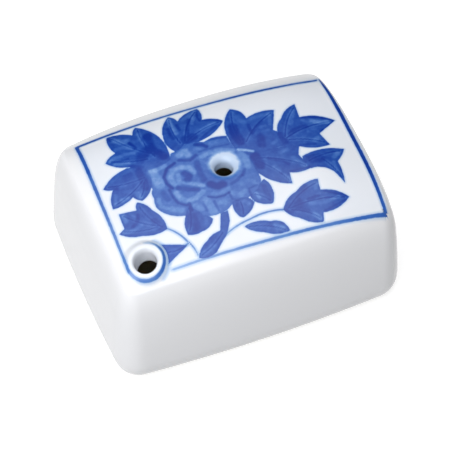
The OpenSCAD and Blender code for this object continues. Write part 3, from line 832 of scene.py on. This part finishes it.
def printed_gloss(name):
    """Glaze over ink, which is uneven inside, soft at its edges and has a faint halo."""
    g = Graph(name)
    edge, tone = g.attribute("edge"), g.attribute("tone")
    line, depth = g.attribute("line"), g.attribute("depth")
    grain = g.noise(*GRAIN_NOISE)
    cloud = g.noise(*CLOUD_NOISE)
    wander = (grain - 0.5) * WANDER
    halo = WASH_HALO * edge.ramp(*HALO_EDGE) + LINE_HALO * line.ramp(*HALO_EDGE)
    uneven = tone + (cloud - 0.5) * CLOUD_SHARE + (grain - 0.5) * GRAIN_SHARE
    wash = (edge + wander).ramp(*WASH_EDGE) * uneven
    stroke = (line + wander).ramp(*LINE_EDGE) * depth * (LINE_CLOUD * cloud + LINE_PLAIN)
    ink = wash.maths("MAXIMUM", stroke + WASH_UNDER_LINE * wash).maths("MAXIMUM", halo)
    return gloss(g, ink + tinge(g))


def biscuit(name, base, rough):
    """Bare fired porcelain, matt and fine grained."""
    g = Graph(name)
    grain = g.noise(*CLAY_GRAIN)
    cloud = g.noise(*CLAY_CLOUD)
    dark = tuple(c * CLOUD_DARK for c in base[:3]) + (1.0,)
    mix = g.node(
        "ShaderNodeMix", {"data_type": "RGBA"}, {0: cloud.ramp(*CLOUD_EDGE), 6: base, 7: dark}
    )[2]
    return g.surface(
        Base_Color=mix, Roughness=rough + CLAY_UNEVEN * (grain - 0.5),
        Normal=g.bump(grain, CLAY_BUMP_STRENGTH, CLAY_BUMP_H * MM),
    )


plain_glaze = plain_gloss("clear_glaze")
print_glaze = printed_gloss("glaze_over_ink")
dish_glaze = printed_gloss("glaze_at_air_hole")
bare_clay = biscuit("biscuit_porcelain", colour(236, 231, 222), 0.7)
# The bare clay inside the block is tinted strong yellow. This is a painted shade tint, so that the
# shade seen in the hollow through the two holes comes out olive-brown.
inner_clay_shade_tint = biscuit("inner_biscuit_shade_tint", colour(255, 240, 170), 0.8)


# Glaze over the whole block

def grid_places():
    """Plan positions of a grid that fills the top, from its outline inwards."""
    end, corner, side = AROUND
    ring = plan(WALL_LEAN + EDGE_RUN)
    n = len(ring)
    nx, ny = 2 * (side + corner // 2), 2 * (end + corner // 2)
    first = -(end + corner // 2)
    order = [(first + k) % n for k in range(n)]
    right = ring[order[:ny + 1]]
    top = ring[order[ny:ny + nx + 1]][::-1]
    left = ring[order[ny + nx:ny + nx + ny + 1]][::-1]
    bottom = ring[order[ny + nx + ny:] + order[:1]]
    s = np.linspace(0, 1, nx + 1)[:, None, None]
    t = np.linspace(0, 1, ny + 1)[None, :, None]
    grid = (1 - t) * bottom[:, None] + t * top[:, None] + (1 - s) * left[None] + s * right[None]
    grid -= (1 - s) * (1 - t) * bottom[0] + s * (1 - t) * bottom[-1]
    grid -= (1 - s) * t * top[0] + s * t * top[-1]
    around = {}
    for k in range(ny + 1):
        around[(nx, k)] = order[k]
        around[(0, ny - k)] = order[ny + nx + k]
    for k in range(nx + 1):
        around[(nx - k, ny)] = order[ny + k]
        around[(k, 0)] = order[(ny + nx + ny + k) % n]
    return grid, around, nx, ny


# Reach of the finer grid about each hole, and the cuts in each of its edges
POUR_FINE = 5.6
VENT_FINE = 4.4
FINE_CUTS = 3


def top_sheet():
    """The top as a grid, finer about the two holes, which are left open. Each vertex of its
    outline has its number in the outline, counted from 1."""
    grid, around, nx, ny = grid_places()
    bm = bmesh.new()
    bmesh.ops.create_grid(bm, x_segments=nx, y_segments=ny, size=1)
    number = bm.verts.layers.int.new("around")
    for v in bm.verts:
        key = (round((v.co.x + 1) / 2 * nx), round((v.co.y + 1) / 2 * ny))
        spot = grid[key]
        v.co = (*spot, float(top_z(spot)))
        v[number] = around.get(key, -1) + 1
    for centre, reach in ((POUR, POUR_FINE), (VENT, VENT_FINE)):
        near = [
            e for e in bm.edges
            if not e.is_boundary and all(flat_gap(v, centre) < reach for v in e.verts)
        ]
        made = bmesh.ops.subdivide_edges(bm, edges=near, cuts=FINE_CUTS, use_grid_fill=True)
        for v in made["geom_inner"]:
            if isinstance(v, bmesh.types.BMVert):
                v.co.z = float(top_z(np.array(v.co.xy)))
    for centre, radius in ((POUR, LIP_CREST), (VENT, VENT_EDGE_R)):
        hidden = [v for v in bm.verts if flat_gap(v, centre) < radius]
        bmesh.ops.delete(bm, geom=hidden, context="VERTS")
    return bm, number


def vent_profile():
    """Rounded edge of the air hole, then its bore, which turns out to the wall at its end."""
    r = VENT_R - VENT_LINING
    run = VENT_EDGE_R - VENT_R
    profile = [
        (r + run * (1 - math.cos(t)), VENT_EDGE_H * (math.sin(t) - 1) + VENT_LINING, 0)
        for t in np.radians(np.arange(70, -1, -10))
    ]
    profile += [(r, -VENT_EDGE_H - d, 0) for d in VENT_DEPTHS]
    end = -VENT_EDGE_H - VENT_END
    return profile + [(VENT_R, end, 0), (VENT_R + VENT_TURN, end, 0)]


def pour_profile():
    """Flare inside the lip, then the throat, which leans and turns out to the wall at its end."""
    r = POUR_R - POUR_LINING
    run = LIP_CREST - POUR_R
    slope = math.tan(POUR_LEAN)
    profile = []
    for t in np.radians(np.arange(80, -1, -10)):
        h = LIP_H + POUR_FLARE * (math.sin(t) - 1)
        profile.append((r + run * (1 - math.cos(t)), h, max(-h, 0) * slope))
    profile += [(r, -d, d * slope) for d in POUR_DEPTHS]
    shift = POUR_END * slope
    return profile + [(POUR_R, -POUR_END, shift), (POUR_R + POUR_TURN, -POUR_END, shift)]


def add_bore(bm, centre, radius, profile):
    """Rings down into a hole, as radius, height over the dome and shift along the length."""
    rim = ring_of(bm, centre, radius)
    angles = [math.atan2(v.co.y - centre[1], v.co.x - centre[0]) for v in rim]
    for r, h, shift in profile:
        spots = centre + (shift, 0) + r * np.c_[np.cos(angles), np.sin(angles)]
        rim = extruded(bm, rim, np.c_[spots, dome_z(spots) + h])


WALL_LEVELS = 14
TUCK_LEVELS = (4.4, 3.8, 3.2, 2.7, 2.2, 1.8, 1.5, 1.3)
# Insets and heights of the rounded lower edge of the glaze
LOWER_EDGE = ((0.06, 1.2), (0.16, 1.18), (GLAZE_T, 1.24), (GLAZE_T + 0.01, 1.45))


def level_ring(inset, z):
    ring = plan(inset)
    return np.c_[ring, np.full(len(ring), z)]


def add_walls(bm, number):
    """Rounded top edge, walls, and the tuck down to the lower edge of the glaze."""
    outer = {v[number]: v for v in bm.verts if v.is_boundary and v[number] > 0}
    loop = [outer[k] for k in sorted(outer)]
    for t in np.radians(np.arange(82, -1, -8)):
        drop = EDGE_DROP * (1 - math.sin(t))
        lean = WALL_LEAN * (1 - drop / WALL_RISE)
        inset = lean + EDGE_RUN * (1 - math.cos(t))
        loop = extruded(bm, loop, wall_ring(inset, dome_z(plan(inset)) - drop))
    upper = dome_z(plan(lean)) - EDGE_DROP
    for share in np.linspace(0, 1, WALL_LEVELS + 1)[1:]:
        z = upper + (BELLY_Z - upper) * share
        loop = extruded(bm, loop, wall_ring(lean * (1 - share), z))
    for z in TUCK_LEVELS:
        loop = extruded(bm, loop, level_ring(tuck_in(z), z))
    for inset, z in LOWER_EDGE:
        loop = extruded(bm, loop, level_ring(tuck_in(GLAZE_Z) + inset, z))


def glaze_skin():
    """Makes the glaze, and returns its outer surface for the films to lie on."""
    bm, number = top_sheet()
    add_bore(bm, VENT, VENT_EDGE_R, vent_profile())
    add_bore(bm, POUR, LIP_CREST, pour_profile())
    add_walls(bm, number)
    bmesh.ops.recalc_face_normals(bm, faces=bm.faces)
    surface = BVHTree.FromBMesh(bm)
    bmesh.ops.solidify(bm, geom=bm.faces[:], thickness=SKIN_T)
    finished(bm, "glaze_skin", dish_glaze, ["glaze_coat"])
    return surface


# Printed films. Their undersides lie just over the glaze, and where two overlap, the one with
# the greater lift is seen.

FILM_FLOOR = 0.004
PETAL_LIFT = 0.026
LEAF_LIFT = 0.03
STEM_LIFT = 0.036
BORDER_LIFT = 0.04

# Half size of the area with washes, and the cells of their sheets. The rim of a sheet moves in
# passes to its true edge, by the slope of the distance that is found with a small probe.
WASH_HALF = np.array([25, 17.2])
CELL = 0.2
PROBE = 0.03
RIM_PASSES = 3
LEAST_SLOPE = 0.2
FURTHEST_MOVE = 0.45 * CELL

# Step along a drawn line, steps across each half of it, in its ink and in its margin, and the
# least cosine of half a turn, which keeps a mitre from reaching out too far
LINE_STEP = 0.3
INK_STEPS = 2
MARGIN_STEPS = 3
MITRE_LIMIT = 0.5


def skin_z(p):
    """Height of the glaze over points of the plan, also where a film runs over the edge."""
    z = top_z(p)
    for i in np.flatnonzero(~inside(p, plan(WALL_LEAN + EDGE_RUN))):
        hit = skin_surface.ray_cast((*p[i], 2 * BODY_H), (0, 0, -1))[0]
        if hit:
            z[i] = hit.z
    return z


def layered(bm, name, lift, stands_for):
    """Gives a flat sheet that lies over the plan its place on the top and its thickness."""
    for v, z in zip(bm.verts, skin_z(np.array([v.co.xy for v in bm.verts]))):
        v.co.z = z + lift
    for e in bm.edges:
        e.smooth = not e.is_boundary
    under = bmesh.ops.extrude_face_region(bm, geom=bm.faces[:])["geom"]
    for v in under:
        if isinstance(v, bmesh.types.BMVert):
            v.co.z += FILM_FLOOR - lift
    bmesh.ops.recalc_face_normals(bm, faces=bm.faces)
    finished(bm, name, print_glaze, stands_for)


def wash_film(name, reach_at, lift, stands_for):
    """Sheet of a wash, wherever reach_at says how far inside the wash a point is."""
    bm = bmesh.new()
    count = np.round(2 * WASH_HALF / CELL).astype(int)
    bmesh.ops.create_grid(bm, x_segments=int(count[0]), y_segments=int(count[1]), size=1)
    uv = np.array([v.co.xy for v in bm.verts]) * WASH_HALF
    places = from_print(uv)
    for v, p in zip(bm.verts, places):
        v.co = (*p, 0)
    near = reach_at(places, uv) + HALO > -CELL / 2
    bmesh.ops.delete(bm, geom=[v for v, keep in zip(bm.verts, near) if not keep], context="VERTS")
    bmesh.ops.delete(bm, geom=[v for v in bm.verts if not v.link_faces], context="VERTS")

    rim = [v for v in bm.verts if v.is_boundary]
    for _ in range(RIM_PASSES):
        p = np.array([v.co.xy for v in rim])
        gaps = [reach_at(q, to_print(q)) + HALO for q in (p, p + (PROBE, 0), p + (0, PROBE))]
        slope = np.c_[gaps[1] - gaps[0], gaps[2] - gaps[0]] / PROBE
        step = -gaps[0][:, None] * slope / np.maximum((slope ** 2).sum(1), LEAST_SLOPE)[:, None]
        length = np.hypot(*step.T)
        step *= (np.minimum(length, FURTHEST_MOVE) / np.maximum(length, 1e-9))[:, None]
        for v, q in zip(rim, p + step):
            v.co.xy = q
    layered(bm, name, lift, stands_for)


def line_film(name, lines, lift, stands_for):
    """Ribbons of the drawn lines, mitred at their corners."""
    bm = bmesh.new()
    for path, halves, _ in lines:
        knots = knots_of(path, halves)
        path = even(path, LINE_STEP)
        half = np.interp(along(path), knots, halves)
        d = np.diff(path, axis=0)
        d /= np.hypot(*d.T)[:, None]
        before, after = np.vstack([d[:1], d]), np.vstack([d, d[-1:]])
        mid = before + after
        mid /= np.hypot(*mid.T)[:, None]
        side = np.c_[-mid[:, 1], mid[:, 0]] / np.maximum((mid * after).sum(1), MITRE_LIMIT)[:, None]
        path[0] -= d[0] * HALO
        path[-1] += d[-1] * HALO
        rows, steps = len(path) - 1, INK_STEPS + MARGIN_STEPS
        made = bmesh.ops.create_grid(bm, x_segments=rows, y_segments=2 * steps, size=1)["verts"]
        for v in made:
            i = round((v.co.x + 1) / 2 * rows)
            across = abs(v.co.y) * steps
            reach = half[i] * min(across / INK_STEPS, 1)
            reach += HALO * max(across - INK_STEPS, 0) / MARGIN_STEPS
            spot = path[i] + side[i] * math.copysign(reach, v.co.y)
            v.co = (*from_print(spot[None])[0], 0)
    layered(bm, name, lift, stands_for)


def clear_of_holes(p):
    """Distance of points outside the areas of the two holes, which the washes keep clear of."""
    from_vent = np.hypot(*(p - VENT).T) - VENT_KEEP_OUT
    from_pour = np.hypot(*(p - POUR).T) - POUR_KEEP_OUT
    return np.minimum(from_vent, from_pour)


def leaf_reach(p, uv):
    return np.minimum(into_leaf(uv), clear_of_holes(p))


def blossom_reach(p, uv):
    off_leaf = -into_leaf(uv) - HALO
    return np.minimum(np.minimum(signed(uv, blossom_path), off_leaf), clear_of_holes(p))


skin_surface = glaze_skin()
wash_film("petal_film", blossom_reach, PETAL_LIFT, ["petal_wash"])
wash_film("leaf_film", leaf_reach, LEAF_LIFT, ["leaf_wash"])
line_film("stem_film", stem_lines, STEM_LIFT, ["line_print"])
# The border film also carries the faint line at the foot of the lip, which is glaze pooled there
# and painted shade of that crease.
line_film("border_and_lip_shade_film", frame_and_lip_shade_lines, BORDER_LIFT, ["border_print"])

# The inside of the casting takes the yellow painted shade tint. The base slab and seam take the
# plain bare clay, and the glaze under the base takes the plain gloss.
for name, finish in (
    ("upper_casting", inner_clay_shade_tint), ("base_slab", bare_clay), ("slip_seam", bare_clay),
    ("base_glaze", plain_glaze),
):
    slots = frame["nodes"][name].data.materials
    slots.clear()
    slots.append(finish)


# Floor, light and camera

FLOOR_SIZE = 3
FLOOR_GREY = (0.45, 0.45, 0.45, 1)
WHITE = (1, 1, 1, 1)
# Light of the floor that only the camera and reflections see, and light of the studio walls
FLOOR_GLOW = 0.7
ROOM_LIGHT = 0.05

# Direction of the camera in degrees, its distance in millimetres, and what it looks at: a
# point of the block with a shift to the right and up in the picture
CAMERA_AZ = -21.8
CAMERA_EL = 53.28
CAMERA_AWAY = 470
CAMERA_AT = (0, 0, 10)
CAMERA_SHIFT = (0.2, 0.47)
SENSOR = 36
LENS = 191.1448

# Each lamp: place and size in metres, and power
LAMP_AT = (0, 0, 0.02)
LAMPS = {
    "side": ((-0.475, -0.215, 0.34), 0.35, 1.82),
    "overhead": ((0.0, 0.08, 0.65), 0.7, 2.85),
    "front": ((-0.12, -0.35, 0.52), 0.45, 1.68),
}


def floor():
    """White floor that keeps the shadow of the block."""
    bm = bmesh.new()
    bmesh.ops.create_grid(bm, x_segments=1, y_segments=1, size=FLOOR_SIZE)
    mesh = bpy.data.meshes.new("floor")
    bm.to_mesh(mesh)
    bm.free()
    g = Graph("pale_floor")
    path = g.node("ShaderNodeLightPath")
    diffuse = g.node("ShaderNodeBsdfDiffuse", None, {"Color": FLOOR_GREY})[0]
    glow = g.node("ShaderNodeEmission", None, {"Color": WHITE, "Strength": FLOOR_GLOW})[0]
    none = g.node("ShaderNodeEmission", None, {"Strength": 0.0})[0]
    seen = path[0].maths("MAXIMUM", path[3])
    extra = g.node("ShaderNodeMixShader", None, {0: seen, 1: none, 2: glow})[0]
    both = g.node("ShaderNodeAddShader", None, {0: diffuse, 1: extra})[0]
    g.node("ShaderNodeOutputMaterial", None, {"Surface": both})
    mesh.materials.append(g.material)
    piece = bpy.data.objects.new("floor", mesh)
    bpy.context.scene.collection.objects.link(piece)


def lamp(name, place, size, power):
    data = bpy.data.lights.new(name, "AREA")
    data.size = size
    data.energy = power
    piece = bpy.data.objects.new(name, data)
    piece.location = place
    piece.rotation_euler = (Vector(LAMP_AT) - Vector(place)).to_track_quat("-Z", "Y").to_euler()
    bpy.context.scene.collection.objects.link(piece)


def world():
    """Dim studio, with a white background for the camera alone."""
    made = bpy.data.worlds.new("studio")
    bpy.context.scene.world = made
    made.use_nodes = True
    tree = made.node_tree
    back = tree.nodes["Background"]
    back.inputs["Color"].default_value = WHITE
    path = tree.nodes.new("ShaderNodeLightPath")
    level = tree.nodes.new("ShaderNodeMapRange")
    level.inputs["To Min"].default_value = ROOM_LIGHT
    level.inputs["To Max"].default_value = 1.0
    tree.links.new(path.outputs["Is Camera Ray"], level.inputs["Value"])
    tree.links.new(level.outputs[0], back.inputs["Strength"])


def camera():
    az, el = math.radians(CAMERA_AZ), math.radians(CAMERA_EL)
    back = Vector((math.sin(az) * math.cos(el), -math.cos(az) * math.cos(el), math.sin(el)))
    right = Vector((math.cos(az), math.sin(az), 0))
    up = back.cross(right)
    shift = right * CAMERA_SHIFT[0] + up * CAMERA_SHIFT[1]
    place = (shift + Vector(CAMERA_AT) + back * CAMERA_AWAY) * MM
    data = bpy.data.cameras.new("camera")
    data.sensor_width = SENSOR
    data.lens = LENS
    data.clip_start = 0.01
    piece = bpy.data.objects.new("camera", data)
    piece.matrix_world = Matrix.Translation(place) @ Matrix((right, up, back)).transposed().to_4x4()
    bpy.context.scene.collection.objects.link(piece)
    bpy.context.scene.camera = piece


floor()
world()
camera()
for name, (place, size, power) in LAMPS.items():
    lamp(name, place, size, power)
bpy.context.scene.view_settings.view_transform = "Standard"
